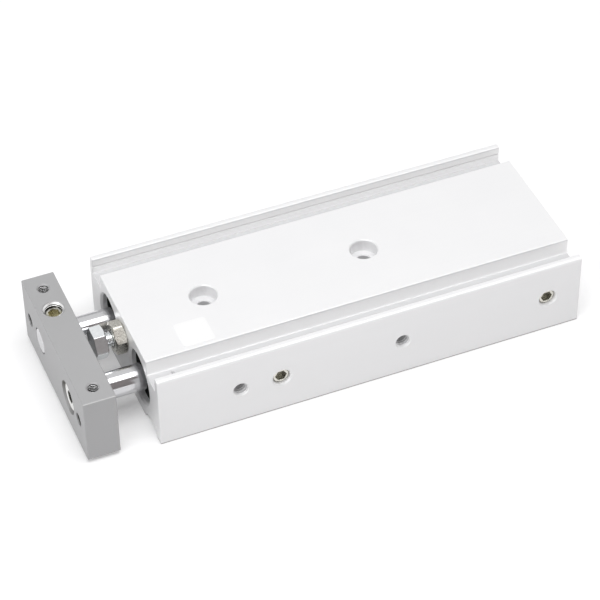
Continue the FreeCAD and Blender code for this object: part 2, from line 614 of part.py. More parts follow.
def end_closure(name, side):
    """End cap with its bumper button, O-ring and puller hole, held by the rear snap ring."""
    outer = "(dim.cap_bore / 2 - dim.press_clearance)"
    length = "dim.cap_length"
    groove_floor = f"({outer} - dim.o_ring_section - dim.press_clearance)"
    groove_start = f"({length} - dim.o_ring_groove) / 2"
    groove_end = f"({length} + dim.o_ring_groove) / 2"
    seat = "dim.rear_bumper_diameter / 2 + dim.press_clearance"
    puller = "dim.cap_puller_hole / 2"
    turned(f"{name}_end_cap", on_axis(CAP_START, side), [
        ("dim.rear_bumper_seat", "0"), ("dim.rear_bumper_seat", seat), ("0", seat),
        ("0", f"{outer} - dim.cap_chamfer"), ("dim.cap_chamfer", outer),
        (groove_start, outer), (groove_start, groove_floor), (groove_end, groove_floor), (groove_end, outer),
        (f"{length} - dim.cap_chamfer", outer), (length, f"{outer} - dim.cap_chamfer"),
        (length, puller), (f"{length} - dim.cap_puller_depth", puller),
        (f"{length} - dim.cap_puller_depth", "0"),
    ])
    button_length = "(dim.rear_bumper_seat + dim.rear_bumper_proud)"
    button = "dim.rear_bumper_diameter / 2"
    turned(f"{name}_rear_bumper", on_axis(f"({CAP_START} - dim.rear_bumper_proud)", side), [
        ("0", "0"), ("0", f"{button} - dim.cap_chamfer"), ("dim.cap_chamfer", button),
        (button_length, button), (button_length, "0"),
    ])
    ring = new_piece(f"{name}_cap_o_ring", on_axis(f"({CAP_START} + {length} / 2)", side))
    cord = new_sketch(ring, "XY_Plane")
    draw_circle(cord, "0", f"{outer} - dim.o_ring_section / 2", "dim.o_ring_section")
    revolve(ring, cord)


def port_plug(label, station):
    """Threaded plug with a hexagon socket, in a left port."""
    body = turned(label, (f"{FRONT_FACE} - {station}", f"{HALF_WIDTH} - dim.plug_inset", "dim.axis_height"), [
        ("0", "0"), *tube("0", "dim.plug_length", "0", "(dim.port_thread / 2 - dim.press_clearance)",
                          "dim.screw_chamfer")[1:],
    ], INWARD_FROM_LEFT)
    socket(body, "dim.plug_socket", "dim.plug_socket_depth")


def yoke_plate():
    """Aluminium plate on the ends of both rods, with tapped holes for the load."""
    body = new_piece("yoke_plate", (f"{FRONT_FACE} - {YOKE_FRONT}", "0", "dim.axis_height"))
    half_width = "dim.yoke_width / 2"
    half_height = "dim.yoke_height / 2"
    outline = new_sketch(body, "YZ_Plane")
    draw_outline(outline, [
        (f"-{half_width}", f"-{half_height}"), (half_width, f"-{half_height}"),
        (half_width, half_height), (f"-{half_width}", half_height),
    ])
    blank = pad(body, outline, "dim.yoke_thickness")
    chamfer = body.newObject("PartDesign::Chamfer", "yoke_plate_edges")
    chamfer.Base = (blank, [f"Edge{index}" for index in range(1, len(blank.Shape.Edges) + 1)])
    chamfer.setExpression("Size", "dim.yoke_edge")
    finish_feature(body, chamfer, True)

    rod_bore = new_sketch(body, "YZ_Plane")
    draw_circle(rod_bore, HALF_PITCH, "0", "dim.rod_diameter + 2 * dim.press_clearance")
    pocket(body, rod_bore)
    screw_hole = new_sketch(body, "YZ_Plane")
    draw_circle(screw_hole, f"-{HALF_PITCH}", "0", "dim.rod_screw_hole")
    pocket(body, screw_hole)
    recess = new_sketch(body, "YZ_Plane")
    draw_circle(recess, f"-{HALF_PITCH}", "0", "dim.rod_screw_recess")
    pocket(body, recess, "dim.rod_screw_recess_depth", along_normal=True)
    spigot = new_sketch(body, "YZ_Plane", "dim.yoke_thickness")
    draw_circle(spigot, f"-{HALF_PITCH}", "0", "dim.rod_diameter + 2 * dim.press_clearance")
    pocket(body, spigot, "dim.rod_spigot")

    front_threads = new_sketch(body, "YZ_Plane")
    draw_circle(front_threads, "dim.yoke_hole_pitch / 2", "0", "dim.yoke_front_thread")
    draw_circle(front_threads, "-dim.yoke_hole_pitch / 2", "0", "dim.yoke_front_thread")
    pocket(body, front_threads)
    top_threads = new_sketch(body, "XY_Plane", half_height)
    for across in ("dim.yoke_hole_pitch / 2", "-dim.yoke_hole_pitch / 2"):
        draw_circle(top_threads, "dim.yoke_thickness / 2", across, "dim.yoke_top_thread")
    drill(body, top_threads, "dim.yoke_top_thread", "dim.yoke_top_depth", "dim.mouth_chamfer")
    clamp_thread = new_sketch(body, "XY_Plane", half_height)
    draw_circle(clamp_thread, "dim.yoke_thickness / 2", HALF_PITCH, "dim.clamp_thread")
    drill(body, clamp_thread, "dim.clamp_thread", half_height, "dim.clamp_mouth_chamfer")


def rod_screw():
    """Socket head screw that pulls the left rod into the yoke."""
    head = "dim.rod_screw_head / 2"
    height = "dim.rod_screw_head_height"
    shank = "(dim.rod_screw_thread / 2 - dim.press_clearance)"
    web = "(dim.yoke_thickness - dim.rod_screw_recess_depth - dim.rod_spigot)"
    end = f"({height} + {web} + dim.rod_screw_engagement)"
    station = f"({YOKE_FRONT} + dim.rod_screw_recess_depth - {height})"
    body = turned("rod_screw", on_axis(station, "1"), [
        ("0", "0"), ("0", f"{head} - dim.screw_chamfer"), ("dim.screw_chamfer", head), (height, head),
        (height, shank), (f"{end} - dim.screw_chamfer", shank), (end, f"{shank} - dim.screw_chamfer"),
        (end, "0"),
    ])
    socket(body, "dim.rod_screw_socket", "dim.rod_screw_socket_depth")


def clamp_screw():
    """Set screw in the top of the yoke that bears on the right rod."""
    length = "(dim.yoke_height / 2 - dim.rod_diameter / 2 - dim.clamp_inset - dim.press_clearance)"
    across = f"{FRONT_FACE} + dim.yoke_gap + dim.yoke_thickness / 2"
    body = turned("clamp_screw", (across, f"-{HALF_PITCH}", f"{YOKE_TOP} - dim.clamp_inset"), [
        ("0", "0"), *tube("0", length, "0", "(dim.clamp_thread / 2 - dim.press_clearance)",
                          "dim.screw_chamfer")[1:],
    ], DOWNWARD)
    socket(body, "dim.plug_socket", "dim.plug_socket_depth")


def stop_bolt():
    """Hexagon bolt that sets how far the yoke comes back."""
    height = "dim.stop_head_height"
    place = (f"{FRONT_FACE} + dim.stop_reach + {height}", "0", "dim.stop_height")
    body = new_piece("stop_bolt", place)
    head = new_sketch(body, "YZ_Plane")
    draw_hexagon(head, "dim.stop_head_flats")
    pad(body, head, height)
    break_hexagon_corners(body, "dim.stop_head_flats", ((height, "-1"),))
    shank = new_sketch(body, "YZ_Plane", height)
    draw_circle(shank, "0", "0", "dim.stop_thread")
    pad(body, shank, "dim.stop_length")


cylinder_body()
for name, side in SIDES:
    snap_ring(f"{name}_front_snap_ring", "dim.ring_inset", side, "dim.housing_bore")
    rod_gland(name, side)
    piston_group(name, side)
    end_closure(name, side)
    snap_ring(f"{name}_rear_snap_ring", CAP_END, side, "dim.cap_bore")
piston_rod("left", "1", "(dim.rod_spigot * -1 - dim.yoke_gap)", True)
piston_rod("right", "-1", YOKE_FRONT, False)
port_plug("front_port_plug", FRONT_PORT)
port_plug("rear_port_plug", REAR_PORT)
yoke_plate()
rod_screw()
clamp_screw()
stop_bolt()
hexagon_nut("lock_nut", (f"{FRONT_FACE} + dim.lock_nut_height", "0", "dim.stop_height"), "dim.lock_nut_flats",
            "dim.lock_nut_height", "dim.stop_thread + 2 * dim.stop_play", "dim.lock_nut_turn")

# Every object is sound before anything is written.
doc.recompute()
for item in doc.Objects:
    if "Invalid" in item.State or "Error" in item.State:
        raise RuntimeError(f"{item.Label} failed: {item.State}")
for piece in pieces:
    if piece.Shape.isNull() or not piece.Shape.isValid():
        raise RuntimeError(f"{piece.Label} has no sound shape")

os.makedirs("parts", exist_ok=True)
for piece in pieces:
    piece.Shape.exportStep(f"parts/{piece.Label}.step")
    print(f"{piece.Label}: {piece.Shape.Volume:.2f} mm3, {len(piece.Shape.Solids)} solid")
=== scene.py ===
import json
import math

import bmesh
import bpy
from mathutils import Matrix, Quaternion, Vector


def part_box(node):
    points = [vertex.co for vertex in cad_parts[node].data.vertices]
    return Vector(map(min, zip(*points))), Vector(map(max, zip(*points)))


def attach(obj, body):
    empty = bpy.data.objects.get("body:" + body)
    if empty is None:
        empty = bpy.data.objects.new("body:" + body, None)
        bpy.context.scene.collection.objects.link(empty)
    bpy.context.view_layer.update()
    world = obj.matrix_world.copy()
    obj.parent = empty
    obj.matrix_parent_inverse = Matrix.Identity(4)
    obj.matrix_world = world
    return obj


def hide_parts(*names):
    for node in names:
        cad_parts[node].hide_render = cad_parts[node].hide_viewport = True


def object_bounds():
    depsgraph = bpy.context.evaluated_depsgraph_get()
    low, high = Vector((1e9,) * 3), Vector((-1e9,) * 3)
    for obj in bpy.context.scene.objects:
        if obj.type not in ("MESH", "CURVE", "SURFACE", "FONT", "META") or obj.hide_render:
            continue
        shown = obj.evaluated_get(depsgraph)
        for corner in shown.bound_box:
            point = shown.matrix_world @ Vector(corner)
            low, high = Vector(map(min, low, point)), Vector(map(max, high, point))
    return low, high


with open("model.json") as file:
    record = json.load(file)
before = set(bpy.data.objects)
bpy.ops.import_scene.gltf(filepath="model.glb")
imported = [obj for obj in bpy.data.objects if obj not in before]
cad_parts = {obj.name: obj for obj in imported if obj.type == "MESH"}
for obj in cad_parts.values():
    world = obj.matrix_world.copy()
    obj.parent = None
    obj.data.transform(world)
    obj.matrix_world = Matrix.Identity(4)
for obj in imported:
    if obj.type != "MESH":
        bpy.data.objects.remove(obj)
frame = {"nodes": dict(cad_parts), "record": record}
nodes = frame["nodes"]
cad_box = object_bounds()

# Cylinder body
# The real body is one length of aluminium extrusion, bored from both ends, drilled and tapped, then clear
# anodised to a pale satin skin. Its ends are milled square and everything else is held in it.
MM = 0.001
BODY_PALE = (0.865, 0.865, 0.87)
BODY_SHADE = (0.815, 0.815, 0.825)
BODY_LOWER_PAINTED_SHADE = (0.79, 0.79, 0.795)
BODY_ROUGHNESS = 0.33
SLOT_WALL_PAINTED_LIGHT = (0.96, 0.96, 0.96)
SLOT_BRIM_PAINTED_SHADE = (0.83, 0.83, 0.84)
SLOT_FLOOR_PAINTED_SHADE = (0.64, 0.64, 0.65)
SLOT_INNER = 15.5 * MM
SLOT_OUTER = 21.5 * MM
SLOT_LEVEL = 15.2 * MM
SLOT_FLOOR_FADE = 1 * MM
SLOT_BRIM = 18.75 * MM
SLOT_EDGE = 0.1 * MM
SLOT_SQUARE_ON = (0.7, 0.95)
FOOT_PAINTED_SHADOW = (0.22, 0.21, 0.20)
FOOT_HEIGHT = 0.4 * MM
DIE_LINE_LENGTH = 60 * MM
DIE_LINE_SPACING = 0.22 * MM
DIE_LINE_DEPTH = 0.0012 * MM
DIE_LINE_ROUGHNESS = 0.1
CLOUD_SPACING = 14 * MM
CLOUD_SHARE = 0.6
CLOUD_ROUGHNESS = 0.05
END_SQUARE_ON = (0.8, 0.95)
MILL_MARK_LENGTH = 9 * MM
MILL_MARK_SPACING = 0.12 * MM
MILL_MARK_DEPTH = 0.003 * MM
MILLED_POLISH = 0.06
BORE_PAINTED_SHADE = (0.03, 0.03, 0.03)
BORE_RADIUS = 6.6 * MM
BORE_LIP = 1.5 * MM
BORE_LENGTH = 12 * MM
HOLE_MARGIN = 0.04 * MM


class Layer:
    """One output of a finish's node tree; sums, products and the like of layers become Math nodes."""

    def __init__(self, tree, socket):
        self.tree = tree
        self.socket = socket

    def node(self, kind, settings, sockets, output=None):
        """Adds a node: its settings first, then the value or link of each socket, by name or number."""
        made = self.tree.nodes.new(kind)
        for name, setting in settings.items():
            setattr(made, name, setting)
        for name, value in sockets.items():
            if isinstance(name, int):
                socket = made.inputs[name]
            else:
                socket = next(entry for entry in made.inputs if entry.enabled and entry.name == name)
            if isinstance(value, Layer):
                self.tree.links.new(value.socket, socket)
            else:
                socket.default_value = value
        outputs = [entry for entry in made.outputs if entry.enabled and output in (None, entry.name)]
        return Layer(self.tree, outputs[0])

    def math(self, operation, *terms):
        return self.node("ShaderNodeMath", {"operation": operation}, dict(enumerate(terms)))

    def __add__(self, other):
        return self.math("ADD", self, other)

    __radd__ = __add__

    def __sub__(self, other):
        return self.math("SUBTRACT", self, other)

    def __rsub__(self, other):
        return self.math("SUBTRACT", other, self)

    def __mul__(self, other):
        return self.math("MULTIPLY", self, other)

    __rmul__ = __mul__

    def __abs__(self):
        return self.math("ABSOLUTE", self)

    def part(self, axis):
        """One of the three numbers of a vector."""
        return self.node("ShaderNodeSeparateXYZ", {}, {"Vector": self}, axis)

    def between(self, low, high):
        """Runs from 0 at one value to 1 at another, and stops there."""
        sockets = {"Value": self, "From Min": low, "From Max": high}
        return self.node("ShaderNodeMapRange", {"interpolation_type": "SMOOTHSTEP"}, sockets)

    def into(self, name):
        """Links this layer to a socket of its finish's shader."""
        shader = self.tree.nodes["Principled BSDF"]
        self.tree.links.new(self.socket, shader.inputs[name])


def new_finish(name, constants):
    """A material with one shader, what is the same all over it, and the place on the piece as a layer."""
    material = bpy.data.materials.new(name)
    material.use_nodes = True
    shader = material.node_tree.nodes["Principled BSDF"]
    for socket, value in constants.items():
        shader.inputs[socket].default_value = value
    coordinates = material.node_tree.nodes.new("ShaderNodeTexCoord")
    return material, Layer(material.node_tree, coordinates.outputs["Object"])


def grain(place, spacing, detail=2.0):
    """Soft random pattern from 0 to 1, with its marks about so far apart along x, y and z."""
    scale = [1 / gap for gap in spacing]
    scaled = place.node("ShaderNodeMapping", {}, {"Vector": place, "Scale": scale})
    return place.node("ShaderNodeTexNoise", {}, {"Vector": scaled, "Scale": 1.0, "Detail": detail})


def even_grain(place, spacing, detail=2.0):
    """Soft random pattern with its marks about equally far apart all ways."""
    return grain(place, (spacing, spacing, spacing), detail)


def blend(amount, colour, other):
    """Colour, plain or a layer, that gives way to a plain one as the amount runs from 0 to 1."""
    first = colour if isinstance(colour, Layer) else (*colour, 1)
    sockets = {"Factor": amount, "A": first, "B": (*other, 1)}
    return amount.node("ShaderNodeMix", {"data_type": "RGBA"}, sockets)


def relief(height, depth):
    """Normal of a skin whose pattern of heights, from 0 to 1, is so deep."""
    return height.node("ShaderNodeBump", {}, {"Height": height, "Distance": depth})


def facing(place, axis):
    """How squarely the skin faces along an axis, from 0 to 1."""
    normal = place.node("ShaderNodeNewGeometry", {}, {}, "Normal")
    return abs(normal.part(axis))


def in_hole(place, mouth, axis, radius, depth):
    """1 in a hole of so much radius and depth whose mouth looks along an axis, and 0 beyond."""
    inward = place.node("ShaderNodeVectorMath", {"operation": "SUBTRACT"}, {0: mouth, 1: place})
    flat = [0.0 if name == axis else 1.0 for name in "XYZ"]
    sideways = place.node("ShaderNodeVectorMath", {"operation": "MULTIPLY"}, {0: inward, 1: flat})
    distance = place.node("ShaderNodeVectorMath", {"operation": "LENGTH"}, {0: sideways}, "Value")
    near = distance.between(radius + HOLE_MARGIN, radius)
    level = inward.part(axis)
    return near * level.between(0, HOLE_MARGIN) * level.between(depth + HOLE_MARGIN, depth)


def dress(finish, *names):
    """Gives CAD pieces their finish."""
    for name in names:
        nodes[name].material_slots[0].material = finish


def both(name):
    """The left and the right one of a pair."""
    return f"left_{name}", f"right_{name}"


def box_centre(name):
    """Middle of a CAD piece's box."""
    low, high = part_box(name)
    return (low + high) / 2


anodised, place = new_finish("clear_anodised_aluminium", {"Metallic": 0.2})
die_lines = grain(place, (DIE_LINE_LENGTH, DIE_LINE_SPACING, DIE_LINE_SPACING))
cloud = even_grain(place, CLOUD_SPACING)
mill_marks = grain(place, (MILL_MARK_SPACING, MILL_MARK_LENGTH, MILL_MARK_SPACING))
end_face = facing(place, "X").between(*END_SQUARE_ON)
across = abs(place.part("Y"))
height = place.part("Z")
in_slot = height.between(SLOT_LEVEL - 2 * SLOT_EDGE, SLOT_LEVEL - SLOT_EDGE)
in_slot *= across.between(SLOT_INNER, SLOT_INNER + SLOT_EDGE)
in_slot *= across.between(SLOT_OUTER, SLOT_OUTER - SLOT_EDGE)
slot_wall = in_slot * facing(place, "Y").between(*SLOT_SQUARE_ON)
slot_brim_shade = slot_wall * height.between(SLOT_BRIM, SLOT_BRIM + SLOT_EDGE)
slot_floor_shade = in_slot * facing(place, "Z").between(*SLOT_SQUARE_ON)
slot_floor_shade *= height.between(SLOT_LEVEL + SLOT_FLOOR_FADE, SLOT_LEVEL)
foot_shadow = height.between(FOOT_HEIGHT, FOOT_HEIGHT / 2)
body_low, body_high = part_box("cylinder_body")
deep_bore_shade = 0
for name in both("piston_rod"):
    mouth = box_centre(name)
    mouth.x = body_high.x
    lip = in_hole(place, mouth, "X", BORE_RADIUS, BORE_LIP)
    deep_bore_shade = in_hole(place, mouth, "X", BORE_RADIUS, BORE_LENGTH) - lip + deep_bore_shade
body_colour = blend(CLOUD_SHARE * cloud + (1 - CLOUD_SHARE) * die_lines, BODY_SHADE, BODY_PALE)
# Painted shade: the skin grows darker towards the bottom of the body.
body_colour = blend(height.between(body_high.z, 0), body_colour, BODY_LOWER_PAINTED_SHADE)
# Painted light: the walls of the slots are made paler.
body_colour = blend(slot_wall, body_colour, SLOT_WALL_PAINTED_LIGHT)
# Painted shade: a darker band along the top of each slot wall, under its edge.
body_colour = blend(slot_brim_shade, body_colour, SLOT_BRIM_PAINTED_SHADE)
# Painted shade: the floors of the slots are darkened.
body_colour = blend(slot_floor_shade, body_colour, SLOT_FLOOR_PAINTED_SHADE)
# Painted shade: the bores are nearly black beyond a short lip inside their front mouths.
body_colour = blend(deep_bore_shade, body_colour, BORE_PAINTED_SHADE)
# Painted shadow: a thin dark line along the foot of the body, where it meets the floor.
blend(foot_shadow, body_colour, FOOT_PAINTED_SHADOW).into("Base Color")
body_roughness = BODY_ROUGHNESS + DIE_LINE_ROUGHNESS * die_lines + CLOUD_ROUGHNESS * cloud
(body_roughness - MILLED_POLISH * end_face).into("Roughness")
skin = die_lines * (1 - end_face) * (DIE_LINE_DEPTH / MILL_MARK_DEPTH) + mill_marks * end_face
relief(skin, MILL_MARK_DEPTH).into("Normal")
dress(anodised, "cylinder_body")

# Sticker
# A small blank vinyl sticker lies on the top face near the front, with rounded corners. It is whiter than
# the anodised skin round it and a little glossier.
STICKER_REAR = 22.4 * MM
STICKER_FRONT = 30.05 * MM
STICKER_RIGHT = 6.8 * MM
STICKER_LEFT = 14.6 * MM
STICKER_CORNER = 0.8 * MM
STICKER_THICKNESS = 0.07 * MM
STICKER_CORNER_STEPS = 8
VINYL_WHITE = (0.90, 0.90, 0.90)
VINYL_SHADE = (0.88, 0.88, 0.885)
VINYL_SPACING = 0.25 * MM
VINYL_DEPTH = 0.001 * MM


def new_piece(name, mesh, finish, body):
    """A finished mesh as a piece of the object that rides on a body."""
    piece = bpy.data.objects.new(name, mesh)
    bpy.context.scene.collection.objects.link(piece)
    mesh.materials.clear()
    mesh.materials.append(finish)
    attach(piece, body)
    return piece


def rounded_outline(corners, radius, steps):
    """Points round a convex polygon of (x, y) corners, anticlockwise, with an arc at each corner."""
    points = []
    count = len(corners)
    for index, corner in enumerate(corners):
        spot = Vector(corner)
        before = (Vector(corners[index - 1]) - spot).normalized()
        after = (Vector(corners[(index + 1) % count]) - spot).normalized()
        half_angle = before.angle(after) / 2
        centre = spot + (before + after).normalized() * radius / math.sin(half_angle)
        sweep = math.pi - 2 * half_angle
        middle = math.atan2(spot.y - centre.y, spot.x - centre.x)
        for step in range(steps + 1):
            angle = middle + sweep * (step / steps - 0.5)
            points.append(centre + radius * Vector((math.cos(angle), math.sin(angle))))
    return points


def mesh_from_rings(name, rings, closed):
    """Mesh through rings of points; a closed one runs back to its first ring, an open one gets end faces."""
    shape = bmesh.new()
    made = [[shape.verts.new(point) for point in ring] for ring in rings]
    pairs = list(zip(made, made[1:] + made[:1])) if closed else list(zip(made, made[1:]))
    for ring, following in pairs:
        for index in range(len(ring)):
            after = (index + 1) % len(ring)
            shape.faces.new((ring[index], ring[after], following[after], following[index]))
    if not closed:
        shape.faces.new(made[0])
        shape.faces.new(made[-1])
    bmesh.ops.recalc_face_normals(shape, faces=shape.faces)
    mesh = bpy.data.meshes.new(name)
    shape.to_mesh(mesh)
    shape.free()
    return mesh


vinyl, place = new_finish("white_vinyl", {"Coat Roughness": 0.25, "Coat Weight": 0.3, "Roughness": 0.45})
speckle = even_grain(place, VINYL_SPACING)
blend(speckle, VINYL_SHADE, VINYL_WHITE).into("Base Color")
relief(speckle, VINYL_DEPTH).into("Normal")

sticker_corners = [
    (STICKER_REAR, STICKER_RIGHT), (STICKER_FRONT, STICKER_RIGHT),
    (STICKER_FRONT, STICKER_LEFT), (STICKER_REAR, STICKER_LEFT),
]
sticker_outline = rounded_outline(sticker_corners, STICKER_CORNER, STICKER_CORNER_STEPS)
sticker_rings = []
for rise in (0, STICKER_THICKNESS):
    sticker_rings.append([(point.x, point.y, body_high.z + rise) for point in sticker_outline])
new_piece("sticker", mesh_from_rings("sticker", sticker_rings, False), vinyl, "cylinder")

# Tapped holes in the body
# The side holes and the open air ports are tapped. Each thread is one ridge that winds down the wall of its
# hole, with crests that catch the light under the countersunk mouth.
SIDE_THREAD_RADIUS = 1.65 * MM
SIDE_THREAD_PITCH = 0.7 * MM
PORT_THREAD_RADIUS = 2.1 * MM
PORT_THREAD_PITCH = 0.8 * MM
THREAD_DEPTH = 5 * MM
THREAD_START = 0.45 * MM
CREST_SHARE = 0.26
CREST_WIDTH_SHARE = 0.8
POINTS_PER_TURN = 40
MERGE_DISTANCE = 0.0001 * MM


def thread_tree():
    """Nodes that wind a ridge of triangular section down from each point, along the turned z axis."""
    tree = bpy.data.node_groups.new("thread", "GeometryNodeTree")
    tree.interface.new_socket("Geometry", in_out="OUTPUT", socket_type="NodeSocketGeometry")
    inputs = {
        "Starts": "Geometry", "Wall Radius": "Float", "Pitch": "Float", "Depth": "Float",
        "Crest Height": "Float", "Turn": "Rotation", "Finish": "Material",
    }
    for name, kind in inputs.items():
        tree.interface.new_socket(name, in_out="INPUT", socket_type=f"NodeSocket{kind}")

    def node(kind, settings, links):
        made = tree.nodes.new(kind)
        for name, setting in settings.items():
            setattr(made, name, setting)
        for name, value in links.items():
            if isinstance(value, bpy.types.NodeSocket):
                tree.links.new(value, made.inputs[name])
            else:
                made.inputs[name].default_value = value
        return made

    def math_node(operation, first, second):
        return node("ShaderNodeMath", {"operation": operation}, {0: first, 1: second}).outputs[0]

    given = tree.nodes.new("NodeGroupInput").outputs
    turns = math_node("DIVIDE", given["Depth"], given["Pitch"])
    downward = math_node("MULTIPLY", given["Depth"], -1.0)
    helix = node("GeometryNodeCurveSpiral", {}, {
        "Resolution": POINTS_PER_TURN, "Rotations": turns, "Start Radius": given["Wall Radius"],
        "End Radius": given["Wall Radius"], "Height": downward,
    })
    upright = node("GeometryNodeSetCurveNormal", {"mode": "Z_UP"}, {"Curve": helix.outputs[0]})
    triangle = node("GeometryNodeCurvePrimitiveCircle", {}, {"Resolution": 3, "Radius": 1.0})
    half_width = math_node("MULTIPLY", given["Pitch"], CREST_WIDTH_SHARE / math.sqrt(3))
    size = node("ShaderNodeCombineXYZ", {}, {"X": given["Crest Height"], "Y": half_width, "Z": 1.0})
    profile = node("GeometryNodeTransform", {}, {"Geometry": triangle.outputs[0], "Scale": size.outputs[0]})
    ridge = node("GeometryNodeCurveToMesh", {}, {
        "Curve": upright.outputs[0], "Profile Curve": profile.outputs[0], "Fill Caps": True,
    })
    placed = node("GeometryNodeInstanceOnPoints", {}, {
        "Points": given["Starts"], "Instance": ridge.outputs[0], "Rotation": given["Turn"],
    })
    real = node("GeometryNodeRealizeInstances", {}, {"Geometry": placed.outputs[0]})
    finished = node("GeometryNodeSetMaterial", {}, {
        "Geometry": real.outputs[0], "Material": given["Finish"],
    })
    result = tree.nodes.new("NodeGroupOutput")
    tree.links.new(finished.outputs[0], result.inputs[0])
    return tree


winding = thread_tree()


def grown_mesh(name, start, tree, values):
    """Plain mesh that a node tree grows on a start mesh, with its doubles merged and its faces outward."""
    carrier = bpy.data.objects.new(name, start)
    bpy.context.scene.collection.objects.link(carrier)
    modifier = carrier.modifiers.new(tree.name, "NODES")
    modifier.node_group = tree
    for entry in tree.interface.items_tree:
        if entry.in_out == "INPUT" and entry.name in values:
            modifier[entry.identifier] = values[entry.name]
    graph = bpy.context.evaluated_depsgraph_get()
    mesh = bpy.data.meshes.new_from_object(carrier.evaluated_get(graph))
    carrier.modifiers.clear()
    bpy.data.objects.remove(carrier)
    shape = bmesh.new()
    shape.from_mesh(mesh)
    bmesh.ops.remove_doubles(shape, verts=shape.verts, dist=MERGE_DISTANCE)
    bmesh.ops.recalc_face_normals(shape, faces=shape.faces)
    shape.to_mesh(mesh)
    shape.free()
    return mesh


def thread_mesh(name, starts, axis, radius, pitch, depth, crest, finish):
    """Ridges that wind from each start against the axis; a crest below 0 stands outward from the wall."""
    points = bpy.data.meshes.new(name)
    points.from_pydata(starts, [], [])
    return grown_mesh(name, points, winding, {
        "Wall Radius": radius, "Pitch": pitch, "Depth": depth, "Crest Height": crest,
        "Turn": Vector(axis).to_track_quat("Z", "Y").to_euler(), "Finish": finish,
    })


def tap(name, mouths, axis, radius, pitch, depth, finish, body):
    """Threads in holes of one size: a point in each mouth, and the direction out of the holes."""
    starts = [Vector(mouth) - Vector(axis) * THREAD_START for mouth in mouths]
    mesh = thread_mesh(name, starts, axis, radius, pitch, depth, CREST_SHARE * pitch, finish)
    new_piece(name, mesh, finish, body)


def mount(name):
    """One of the record's mounts."""
    return next(entry for entry in frame["record"]["mounts"] if entry["name"] == name)


def pattern_mouths(name):
    """Centres of the holes of a line of two, from their mount's middle and spacing."""
    entry = mount(name)
    middle = Vector(entry["pos_m"])
    across = [index for index in range(3) if not round(entry["axis"][index])]
    offset = Vector((0, 0, 0))
    for index, key in zip(across, ("spacing_x_mm", "spacing_y_mm")):
        offset[index] = entry["dims"].get(key, 0) * MM / 2
    return [middle - offset, middle + offset]


for side in ("left", "right"):
    entry = mount(f"{side}_side_threads")
    tap(f"{side}_side_hole_threads", pattern_mouths(f"{side}_side_threads"), entry["axis"],
        SIDE_THREAD_RADIUS, SIDE_THREAD_PITCH, THREAD_DEPTH, anodised, "cylinder")
port_mouths = []
for end in ("front", "rear"):
    spot = Vector(mount(f"right_{end}_port")["pos_m"])
    spot.y = body_low.y
    port_mouths.append(spot)
tap("right_port_threads", port_mouths, (0, -1, 0), PORT_THREAD_RADIUS, PORT_THREAD_PITCH, THREAD_DEPTH,
    anodised, "cylinder")

# Rod glands
# Behind each front snap ring sit a washer, a rubber lip seal and a bronze bush for the rod. The rings are
# stamped from spring steel and phosphated nearly black.
SPRING_DARK = (0.035, 0.035, 0.038)
SPRING_LIGHT = (0.085, 0.085, 0.09)
PHOSPHATE_SPACING = 0.15 * MM
PHOSPHATE_DEPTH = 0.004 * MM
RUBBER_DARK = (0.012, 0.012, 0.012)
RUBBER_LIGHT = (0.03, 0.03, 0.03)
RUBBER_SPACING = 0.3 * MM
RUBBER_DEPTH = 0.006 * MM
BRONZE_DARK = (0.42, 0.27, 0.12)
BRONZE_LIGHT = (0.56, 0.38, 0.19)
TURNED_DARK = (0.66, 0.66, 0.68)
TURNED_LIGHT = (0.76, 0.76, 0.78)
TOOL_MARK_SPACING = 0.16 * MM
TOOL_MARK_DEPTH = 0.002 * MM
TOOL_MARK_ROUGHNESS = 0.1


def granular_finish(name, dark, light, spacing, depth, constants):
    """Even skin with a fine random grain in its colour and surface."""
    finish, place = new_finish(name, constants)
    pattern = even_grain(place, spacing, detail=4.0)
    blend(pattern, dark, light).into("Base Color")
    relief(pattern, depth).into("Normal")
    return finish


def turned_finish(name, dark, light, roughness):
    """Metal turned in a lathe about an axis along x, with tool marks close together along it."""
    finish, place = new_finish(name, {"Metallic": 1.0})
    marks = grain(place, (TOOL_MARK_SPACING, CLOUD_SPACING, CLOUD_SPACING))
    blend(marks, dark, light).into("Base Color")
    (roughness + TOOL_MARK_ROUGHNESS * marks).into("Roughness")
    relief(marks, TOOL_MARK_DEPTH).into("Normal")
    return finish


phosphated = granular_finish("phosphated_spring_steel", SPRING_DARK, SPRING_LIGHT, PHOSPHATE_SPACING,
                             PHOSPHATE_DEPTH, {"Metallic": 0.7, "Roughness": 0.42})
rubber = granular_finish("black_seal_rubber", RUBBER_DARK, RUBBER_LIGHT, RUBBER_SPACING, RUBBER_DEPTH,
                         {"Roughness": 0.55})
bronze = turned_finish("bearing_bronze", BRONZE_DARK, BRONZE_LIGHT, roughness=0.25)
turned_aluminium = turned_finish("turned_aluminium", TURNED_DARK, TURNED_LIGHT, roughness=0.28)
dress(phosphated, *both("front_snap_ring"))
dress(turned_aluminium, *both("seal_washer"))
dress(rubber, *both("rod_seal"))
dress(bronze, *both("rod_bearing"))

# Piston rods
# Both rods are carbon steel, ground round and hard chromed. The grinding leaves hair lines round the rod
# that spread its reflections a little along its length.
CHROME_DARK = (0.54, 0.54, 0.555)
CHROME_LIGHT = (0.61, 0.61, 0.62)
CHROME_ROUGHNESS = 0.11
GRINDING_SPACING = 0.07 * MM
GRINDING_LENGTH = 2.5 * MM
GRINDING_DEPTH = 0.0004 * MM
GRINDING_ROUGHNESS = 0.06

chromed, place = new_finish("hard_chrome", {"Metallic": 1.0})
hair_lines = grain(place, (GRINDING_SPACING, GRINDING_LENGTH, GRINDING_LENGTH))
blend(hair_lines, CHROME_DARK, CHROME_LIGHT).into("Base Color")
(CHROME_ROUGHNESS + GRINDING_ROUGHNESS * hair_lines).into("Roughness")
relief(hair_lines, GRINDING_DEPTH).into("Normal")
dress(chromed, *both("piston_rod"))

